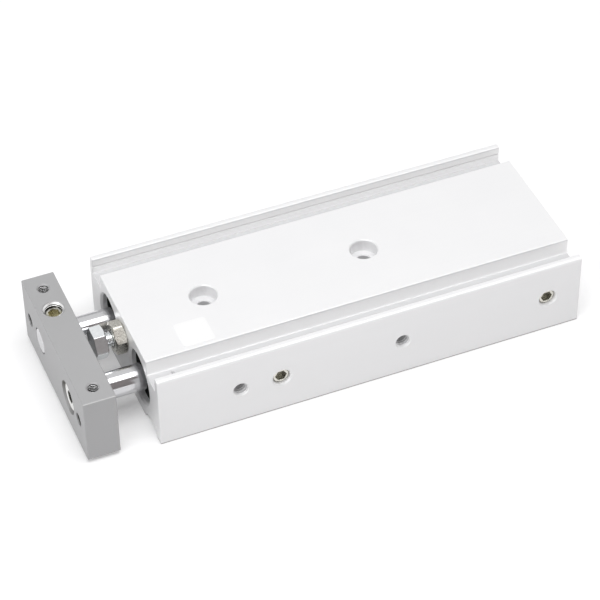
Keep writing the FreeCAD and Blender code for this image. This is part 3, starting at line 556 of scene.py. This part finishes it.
# Piston groups and rear ends
# On the rear end of each rod are a bumper ring, a sensor magnet and a piston with a wear ring and a seal,
# all held by a zinc plated nut. A turned cap with an O-ring and a bumper button closes the rear of each
# bore, and a snap ring holds it in.
URETHANE_DARK = (0.17, 0.12, 0.05)
URETHANE_LIGHT = (0.26, 0.19, 0.08)
FERRITE_DARK = (0.03, 0.03, 0.033)
FERRITE_LIGHT = (0.06, 0.06, 0.063)
WEAR_RING_DARK = (0.15, 0.09, 0.045)
WEAR_RING_LIGHT = (0.22, 0.14, 0.07)
ZINC_DARK = (0.71, 0.735, 0.745)
ZINC_LIGHT = (0.83, 0.85, 0.86)
ZINC_ROUGHNESS = 0.14
BLOOM_SPACING = 0.8 * MM
BLOOM_DEPTH = 0.002 * MM
BLOOM_ROUGHNESS = 0.1

urethane = granular_finish("amber_urethane", URETHANE_DARK, URETHANE_LIGHT, RUBBER_SPACING, RUBBER_DEPTH,
                           {"Roughness": 0.4, "Coat Weight": 0.2})
ferrite = granular_finish("sintered_ferrite", FERRITE_DARK, FERRITE_LIGHT, PHOSPHATE_SPACING,
                          PHOSPHATE_DEPTH, {"Metallic": 0.3, "Roughness": 0.5})
filled_plastic = granular_finish("filled_wear_plastic", WEAR_RING_DARK, WEAR_RING_LIGHT, RUBBER_SPACING,
                                 RUBBER_DEPTH, {"Roughness": 0.5})
zinc, place = new_finish("bright_zinc_plate", {"Metallic": 1.0})
bloom = even_grain(place, BLOOM_SPACING, detail=3.0)
blend(bloom, ZINC_DARK, ZINC_LIGHT).into("Base Color")
(ZINC_ROUGHNESS + BLOOM_ROUGHNESS * bloom).into("Roughness")
relief(bloom, BLOOM_DEPTH).into("Normal")
dress(urethane, *both("front_bumper"), *both("rear_bumper"))
dress(ferrite, *both("magnet"))
dress(filled_plastic, *both("wear_ring"))
dress(turned_aluminium, *both("piston"), *both("end_cap"))
dress(rubber, *both("piston_seal"), *both("cap_o_ring"))
dress(zinc, *both("piston_nut"))
dress(phosphated, *both("rear_snap_ring"))

# Yoke plate
# A flat aluminium bar joins the two rod ends. It is bead blasted, anodised mid grey and has broken edges,
# with tapped holes in its top and front for the load.
YOKE_DARK = (0.37, 0.37, 0.375)
YOKE_LIGHT = (0.415, 0.415, 0.42)
YOKE_ROUGHNESS = 0.44
YOKE_METALLIC = 0.35
BLAST_SPACING = 0.09 * MM
BLAST_DEPTH = 0.004 * MM
BLAST_SHARE = 0.5
BLAST_ROUGHNESS = 0.1
TOP_THREAD_RADIUS = 1.25 * MM
TOP_THREAD_PITCH = 0.5 * MM
TOP_THREAD_DEPTH = 4 * MM
CLAMP_THREAD_RADIUS = 2.1 * MM
CLAMP_THREAD_DROP = 0.15 * MM
CUT_DARK = (0.62, 0.62, 0.63)
CUT_LIGHT = (0.78, 0.78, 0.78)
CUT_SPACING = 0.12 * MM
CUT_DEPTH = 0.003 * MM
CUT_POLISH = 0.2
CUT_METALLIC = 0.95
RECESS_RADIUS = 4.15 * MM
RECESS_DEPTH = 4.4 * MM
CLAMP_MOUTH_RADIUS = 2.45 * MM
CLAMP_MOUTH_DEPTH = 5 * MM
HOLE_PAINTED_SHADE = (0.07, 0.07, 0.065)
HOLE_SHADE_START = 0.28 * MM
RECESS_PAINTED_SHADE = (0.24, 0.24, 0.215)
RECESS_FADE = 2.5 * MM
EDGE_BAND_WIDTH = 0.3 * MM
EDGE_PAINTED_HIGHLIGHT = (0.62, 0.62, 0.62)

yoke_low, yoke_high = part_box("yoke_plate")
clamp_mouth = box_centre("clamp_screw")
clamp_mouth.z = yoke_high.z
recess_mouth = box_centre("rod_screw")
recess_mouth.x = yoke_high.x

grey_anodised, place = new_finish("grey_anodised_aluminium", {})
blast = even_grain(place, BLAST_SPACING, detail=3.0)
cloud = even_grain(place, CLOUD_SPACING)
# Painted shade: the wall of the rod screw's recess is darkened, more towards its top.
recess_shade = in_hole(place, recess_mouth, "X", RECESS_RADIUS, RECESS_DEPTH)
recess_shade *= place.part("Z").between(recess_mouth.z - RECESS_FADE, recess_mouth.z + RECESS_FADE)
cut = in_hole(place, clamp_mouth, "Z", CLAMP_MOUTH_RADIUS, CLAMP_MOUTH_DEPTH)
# Painted shade: the walls of the tapped holes are nearly black, the front ones from a little inside.
hole_shade = in_hole(place, clamp_mouth, "Z", CLAMP_THREAD_RADIUS, CLAMP_MOUTH_DEPTH)
for mouth in pattern_mouths("yoke_top_holes"):
    hole_shade += in_hole(place, mouth, "Z", TOP_THREAD_RADIUS, yoke_high.z - yoke_low.z - EDGE_BAND_WIDTH)
for mouth in pattern_mouths("yoke_front_holes"):
    mouth.x -= HOLE_SHADE_START
    hole_shade += in_hole(place, mouth, "X", SIDE_THREAD_RADIUS, yoke_high.x - yoke_low.x)
# Painted highlight: the top edges at the two ends of the plate are painted pale.
edge_highlight = abs(place.part("Y")).between(yoke_high.y - EDGE_BAND_WIDTH, yoke_high.y)
edge_highlight *= place.part("Z").between(yoke_high.z - EDGE_BAND_WIDTH, yoke_high.z)
yoke_colour = blend(BLAST_SHARE * blast + (1 - BLAST_SHARE) * cloud, YOKE_DARK, YOKE_LIGHT)
yoke_colour = blend(edge_highlight, yoke_colour, EDGE_PAINTED_HIGHLIGHT)
yoke_colour = blend(recess_shade, yoke_colour, RECESS_PAINTED_SHADE)
yoke_colour = blend(cut, yoke_colour, CUT_LIGHT)
blend(hole_shade, yoke_colour, HOLE_PAINTED_SHADE).into("Base Color")
(YOKE_ROUGHNESS + BLAST_ROUGHNESS * blast - CUT_POLISH * cut).into("Roughness")
(YOKE_METALLIC + (CUT_METALLIC - YOKE_METALLIC) * cut).into("Metallic")
relief(blast, BLAST_DEPTH).into("Normal")
dress(grey_anodised, "yoke_plate")

cut_aluminium = granular_finish("cut_aluminium", CUT_DARK, CUT_LIGHT, CUT_SPACING, CUT_DEPTH,
                                {"Metallic": 1.0, "Roughness": 0.24})
tap("yoke_top_hole_threads", pattern_mouths("yoke_top_holes"), (0, 0, 1), TOP_THREAD_RADIUS,
    TOP_THREAD_PITCH, TOP_THREAD_DEPTH, cut_aluminium, "carriage")
tap("yoke_front_hole_threads", pattern_mouths("yoke_front_holes"), (1, 0, 0), SIDE_THREAD_RADIUS,
    SIDE_THREAD_PITCH, yoke_high.x - yoke_low.x - 2 * THREAD_START, cut_aluminium, "carriage")
thread_top = clamp_mouth - Vector((0, 0, CLAMP_THREAD_DROP))
tap("clamp_hole_thread", [thread_top], (0, 0, 1), CLAMP_THREAD_RADIUS, TOP_THREAD_PITCH,
    thread_top.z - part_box("clamp_screw")[1].z - THREAD_START, cut_aluminium, "carriage")

# Screws and plugs
# The port plugs, the clamp screw and the rod screw are steel with hexagon sockets, nickel plated to a
# slightly warm, mottled shine. Painted shade darkens the sockets. The rod screw's head is tall,
# and its flat face is painted a matt near-white as a painted highlight.
NICKEL_DARK = (0.56, 0.545, 0.49)
NICKEL_LIGHT = (0.70, 0.685, 0.635)
NICKEL_ROUGHNESS = 0.2
MOTTLE_SPACING = 0.5 * MM
MOTTLE_DEPTH = 0.003 * MM
MOTTLE_ROUGHNESS = 0.14
SOCKET_PAINTED_SHADE = (0.50, 0.475, 0.36)
PLUG_SOCKET_PAINTED_SHADE = (0.53, 0.52, 0.47)
SOCKET_RADIUS = 1.5 * MM
ROD_SOCKET_RADIUS = 1.75 * MM
SOCKET_DEPTH = 8 * MM
FACE_PAINTED_HIGHLIGHT = (0.95, 0.95, 0.93)
FACE_HIGHLIGHT_RADIUS = 3.5 * MM
FACE_MASK_DEPTH = 0.1 * MM
FACE_HIGHLIGHT_ROUGHNESS = 0.2
RIM_PAINTED_SHADE = (0.24, 0.225, 0.14)
RIM_FADE = 1 * MM
RIM_DEPTH = 0.45 * MM
HEAD_EDGE = 0.4 * MM
HEAD_RISE = 0.7 * MM
SHARP_ANGLE = math.radians(25)
SOCKETS = {
    "front_port_plug": {"axis": "Y", "radius": SOCKET_RADIUS, "shade": PLUG_SOCKET_PAINTED_SHADE},
    "rear_port_plug": {"axis": "Y", "radius": SOCKET_RADIUS, "shade": PLUG_SOCKET_PAINTED_SHADE},
    "clamp_screw": {"axis": "Z", "radius": SOCKET_RADIUS, "shade": SOCKET_PAINTED_SHADE},
    "rod_screw": {"axis": "X", "radius": ROD_SOCKET_RADIUS, "shade": HOLE_PAINTED_SHADE},
}


def soften(mesh):
    """Smooth shading that stops at the sharper edges."""
    mesh.shade_smooth()
    mesh.set_sharp_from_angle(angle=SHARP_ANGLE)


nickel, place = new_finish("nickel_plated_steel", {})
mottle = even_grain(place, MOTTLE_SPACING, detail=5.0)
faces = {}
for name, values in SOCKETS.items():
    index = "XYZ".index(values["axis"])
    faces[name] = box_centre(name)
    faces[name][index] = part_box(name)[1][index]
    dress(nickel, name)
head_top = faces["rod_screw"].x
faces["rod_screw"].x += HEAD_RISE
# Painted highlight: the rod screw's front face is a near-white that is not metallic.
rod_screw_front = faces["rod_screw"] + Vector((FACE_MASK_DEPTH, 0, 0))
face_highlight = in_hole(place, rod_screw_front, "X", FACE_HIGHLIGHT_RADIUS, 2 * FACE_MASK_DEPTH)
# Painted shade: the top of the clamp screw is darkened towards +y.
clamp_screw_top = faces["clamp_screw"] + Vector((0, 0, FACE_MASK_DEPTH))
rim_shade = in_hole(place, clamp_screw_top, "Z", CLAMP_MOUTH_RADIUS, RIM_DEPTH)
rim_shade *= place.part("Y").between(clamp_screw_top.y - RIM_FADE, clamp_screw_top.y + RIM_FADE)
nickel_colour = blend(mottle, NICKEL_DARK, NICKEL_LIGHT)
nickel_colour = blend(face_highlight, nickel_colour, FACE_PAINTED_HIGHLIGHT)
nickel_colour = blend(rim_shade, nickel_colour, RIM_PAINTED_SHADE)
# Painted shade fills each socket.
for name, values in SOCKETS.items():
    socket = in_hole(place, faces[name], values["axis"], values["radius"], SOCKET_DEPTH)
    nickel_colour = blend(socket, nickel_colour, values["shade"])
nickel_colour.into("Base Color")
(1 - face_highlight).into("Metallic")
(NICKEL_ROUGHNESS + MOTTLE_ROUGHNESS * mottle + FACE_HIGHLIGHT_ROUGHNESS * face_highlight).into("Roughness")
relief(mottle, MOTTLE_DEPTH).into("Normal")

shape = bmesh.new()
shape.from_mesh(nodes["rod_screw"].data)
bmesh.ops.remove_doubles(shape, verts=shape.verts, dist=MERGE_DISTANCE)
for vertex in shape.verts:
    if vertex.co.x > head_top - HEAD_EDGE:
        vertex.co.x += HEAD_RISE
mesh = bpy.data.meshes.new("rod_screw_plated")
shape.to_mesh(mesh)
shape.free()
soften(mesh)
tall_screw = new_piece("rod_screw_plated", mesh, nickel, "carriage")
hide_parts("rod_screw")

# Stop bolt and lock nut
# A zinc plated hexagon bolt screwed into the front of the body sets how far the yoke comes back, and a
# nickel plated nut locks it. Both have chamfered, slightly rounded corners, and the bolt a rolled thread.
BOLT_ROOT_RADIUS = 1.6 * MM
BOLT_PITCH = 0.7 * MM
BOLT_CREST = 0.26 * MM
BOLT_RUN_OUT = 0.25 * MM
HEXAGON_ROUNDING = 0.18 * MM
HEXAGON_STEPS = 4
FLAT_STEPS = 6
CORNER_START = 0.475
CORNER_SLOPE = math.tan(math.radians(30))
FLATS_SHARE = math.cos(math.radians(30))
HEAD_SHARE = 0.4
TIP_SHARE = 0.8
TIP_LENGTH = 0.4 * MM
NUT_BORE_RADIUS = 2.05 * MM
NUT_MOUTH = 0.3 * MM


def hexagon_outline(flats, turn):
    """Points round a hexagon with rounded corners, with extra points along each flat."""
    reach = flats / math.sqrt(3)
    angles = [turn + math.radians(60 * index) for index in range(6)]
    corners = [(reach * math.cos(angle), reach * math.sin(angle)) for angle in angles]
    rounded = rounded_outline(corners, HEXAGON_ROUNDING, HEXAGON_STEPS)
    points = []
    for index, point in enumerate(rounded):
        points.append(point)
        if index % (HEXAGON_STEPS + 1) == HEXAGON_STEPS:
            following = rounded[(index + 1) % len(rounded)]
            points += [point.lerp(following, step / FLAT_STEPS) for step in range(1, FLAT_STEPS)]
    return points


def hexagon_rings(outline, flats, axis_point, rear, front, chamfers):
    """Rings along x of a hexagon whose corners are cut back by a cone at the rear (-1) or front (1) face."""
    touch = flats * CORNER_START
    rings = []
    for station, side in ((rear, -1), (front, 1)):
        edge = []
        flat = []
        for point in outline:
            drop = max(0, point.length - touch) * CORNER_SLOPE if side in chamfers else 0
            edge.append((station - side * drop, axis_point.y + point.x, axis_point.z + point.y))
            inner = point * min(1, touch / point.length)
            flat.append((station, axis_point.y + inner.x, axis_point.z + inner.y))
        rings += [flat, edge] if side < 0 else [edge, flat]
    return rings


def ring_at(outline, station, axis_point, radius):
    """Ring of one radius on the rays through an outline's points."""
    ring = []
    for point in outline:
        spot = point.normalized() * radius
        ring.append((station, axis_point.y + spot.x, axis_point.z + spot.y))
    return ring


def outer_places(name, axis_point, radius):
    """Places of a CAD piece's vertices that are further than a radius from an axis along x."""
    places = [vertex.co for vertex in nodes[name].data.vertices]
    return [place for place in places if (place - axis_point).yz.length > radius]


bolt_low, bolt_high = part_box("stop_bolt")
nut_low, nut_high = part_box("lock_nut")
bolt_axis = box_centre("stop_bolt")
head_flats = (bolt_high.y - bolt_low.y) * FLATS_SHARE
head_rear = min(place.x for place in outer_places("stop_bolt", bolt_axis, head_flats * HEAD_SHARE))
outline = hexagon_outline(head_flats, 0)
rings = hexagon_rings(outline, head_flats, bolt_axis, head_rear, bolt_high.x, (-1,))
shank_tip = bolt_low.x + TIP_LENGTH
shank = [ring_at(outline, bolt_low.x, bolt_axis, BOLT_ROOT_RADIUS * TIP_SHARE),
         ring_at(outline, shank_tip, bolt_axis, BOLT_ROOT_RADIUS),
         ring_at(outline, head_rear, bolt_axis, BOLT_ROOT_RADIUS)]
mesh = mesh_from_rings("stop_bolt_blank", shank + rings, False)
soften(mesh)
bolt = new_piece("stop_bolt_blank", mesh, zinc, "stop_bolt")
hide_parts("stop_bolt")

nut_corner = max(outer_places("lock_nut", bolt_axis, 0), key=lambda place: (place - bolt_axis).yz.length)
corner_ray = (nut_corner - bolt_axis).yz
nut_flats = 2 * corner_ray.length * FLATS_SHARE
outline = hexagon_outline(nut_flats, math.atan2(corner_ray.y, corner_ray.x))
rings = hexagon_rings(outline, nut_flats, bolt_axis, nut_low.x, nut_high.x, (-1, 1))
inside = [ring_at(outline, nut_high.x, bolt_axis, NUT_BORE_RADIUS + NUT_MOUTH),
          ring_at(outline, nut_high.x - NUT_MOUTH, bolt_axis, NUT_BORE_RADIUS),
          ring_at(outline, nut_low.x + NUT_MOUTH, bolt_axis, NUT_BORE_RADIUS),
          ring_at(outline, nut_low.x, bolt_axis, NUT_BORE_RADIUS + NUT_MOUTH)]
mesh = mesh_from_rings("lock_nut_plated", rings + inside, True)
soften(mesh)
nut = new_piece("lock_nut_plated", mesh, nickel, "cylinder")
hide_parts("lock_nut")

thread_start = (head_rear - BOLT_RUN_OUT, bolt_axis.y, bolt_axis.z)
thread_length = head_rear - shank_tip - 2 * BOLT_RUN_OUT
mesh = thread_mesh("stop_bolt_thread", [thread_start], (1, 0, 0), BOLT_ROOT_RADIUS, BOLT_PITCH,
                   thread_length, -BOLT_CREST, zinc)
new_piece("stop_bolt_thread", mesh, zinc, "stop_bolt")

# Floor and light
# A pale paper floor and an even white surround, a soft lamp overhead and a low one before the yoke. The
# surround and the far floor show white to the camera and in reflections, and the floor near the object keeps
# its shadow.
FLOOR_SIZE = 6.0
FLOOR_COLOUR = (0.80, 0.80, 0.805, 1)
FLOOR_GLOW = 0.23
WHITE_START = 0.15
WHITE_END = 0.45
SURROUND_STRENGTH = 0.40
LAMPS = {
    "high_lamp": {"place": (0.0, 0.165, 0.86), "size": (0.8, 0.56), "power": 5.5},
    "low_lamp": {"place": (0.70, 0.38, 0.40), "size": (0.5, 0.5), "power": 1.95},
}


def stage_panel(name, place, size):
    """Flat rectangle of the stage, level until it is turned."""
    shape = bmesh.new()
    bmesh.ops.create_grid(shape, x_segments=1, y_segments=1, size=0.5)
    mesh = bpy.data.meshes.new(name)
    shape.to_mesh(mesh)
    shape.free()
    panel = bpy.data.objects.new(name, mesh)
    bpy.context.scene.collection.objects.link(panel)
    panel.location = place
    panel.scale = (*size, 1)
    panel.rotation_mode = "QUATERNION"
    return panel


def seen_directly(tree):
    """Layer that is 1 for rays from the camera and for those that come off metal or through glass."""
    outputs = tree.nodes.new("ShaderNodeLightPath").outputs
    seen = Layer(tree, outputs["Is Camera Ray"])
    for name in ("Is Glossy Ray", "Is Transmission Ray"):
        seen = seen.math("MAXIMUM", seen, Layer(tree, outputs[name]))
    return seen


floor = stage_panel("floor", (0, 0, cad_box[0].z), (FLOOR_SIZE, FLOOR_SIZE))
paper = bpy.data.materials.new("floor_paper")
paper.use_nodes = True
tree = paper.node_tree
tree.nodes.clear()
seen = seen_directly(tree)
place = Layer(tree, tree.nodes.new("ShaderNodeTexCoord").outputs["Object"])
distance = place.node("ShaderNodeVectorMath", {"operation": "LENGTH"}, {0: place}, "Value") * FLOOR_SIZE
white = FLOOR_GLOW + (1 - FLOOR_GLOW) * distance.between(WHITE_START, WHITE_END)
matte = seen.node("ShaderNodeBsdfDiffuse", {}, {"Color": FLOOR_COLOUR})
glow = seen.node("ShaderNodeEmission", {}, {"Strength": seen * white})
both_lights = seen.node("ShaderNodeAddShader", {}, {0: matte, 1: glow})
output = tree.nodes.new("ShaderNodeOutputMaterial")
tree.links.new(both_lights.socket, output.inputs["Surface"])
floor.data.materials.append(paper)

world = bpy.data.worlds.new("surround")
bpy.context.scene.world = world
world.use_nodes = True
tree = world.node_tree
strength = SURROUND_STRENGTH + (1 - SURROUND_STRENGTH) * seen_directly(tree)
background = tree.nodes["Background"]
background.inputs["Color"].default_value = (1, 1, 1, 1)
tree.links.new(strength.socket, background.inputs["Strength"])

for name, values in LAMPS.items():
    lamp_data = bpy.data.lights.new(name, "AREA")
    lamp_data.energy = values["power"]
    lamp_data.shape = "RECTANGLE"
    lamp_data.size, lamp_data.size_y = values["size"]
    lamp = bpy.data.objects.new(name, lamp_data)
    bpy.context.scene.collection.objects.link(lamp)
    lamp.location = values["place"]
    lamp.rotation_mode = "QUATERNION"
    lamp.rotation_quaternion = (-lamp.location).to_track_quat("-Z", "Y")

# Cards
# Plain cards stand round the object, as photographers use for shiny metal: a dark one behind the camera and
# a pale grey one beyond the object. They give the rods and hexagons their bands, and no camera sees them.
CARDS = {
    "dark_card": {"place": (-0.25, 0.80, 0.50), "size": (0.7, 1.0), "colour": (0.44, 0.40, 0.395, 1)},
    "grey_card": {"place": (-0.25, -0.80, 0.22), "size": (0.8, 0.44), "colour": (0.9, 0.9, 0.91, 1)},
}

for name, values in CARDS.items():
    card = stage_panel(name, values["place"], values["size"])
    card.rotation_quaternion = (-card.location).to_track_quat("Z", "Y")
    card.visible_camera = False
    card_paper = bpy.data.materials.new(f"{name}_paper")
    card_paper.use_nodes = True
    card_shader = card_paper.node_tree.nodes["Principled BSDF"]
    card_shader.inputs["Base Color"].default_value = values["colour"]
    card_shader.inputs["Roughness"].default_value = 1.0
    card.data.materials.append(card_paper)

# Camera
# The photograph's view: from the left and in front, well above, through a long lens. The aim, the angles and
# the lens were fitted to corners of the body and the yoke.
VIEW_AIM = (-3.707 * MM, 0.305 * MM, 9.271 * MM)
VIEW_AZIMUTH = math.radians(158.153)
VIEW_ELEVATION = math.radians(42.949)
VIEW_ROLL = math.radians(-0.874)
VIEW_DISTANCE = 582.861 * MM
VIEW_LENS = 149.398

camera_data = bpy.data.cameras.new("camera")
camera_data.lens = VIEW_LENS
camera = bpy.data.objects.new("camera", camera_data)
bpy.context.scene.collection.objects.link(camera)
level = math.cos(VIEW_ELEVATION)
back = Vector((math.sin(VIEW_AZIMUTH) * level, -math.cos(VIEW_AZIMUTH) * level, math.sin(VIEW_ELEVATION)))
camera.location = Vector(VIEW_AIM) + back * VIEW_DISTANCE
camera.rotation_mode = "QUATERNION"
camera.rotation_quaternion = (-back).to_track_quat("-Z", "Y") @ Quaternion((0, 0, 1), VIEW_ROLL)
bpy.context.scene.camera = camera
bpy.context.scene.view_settings.view_transform = "Standard"
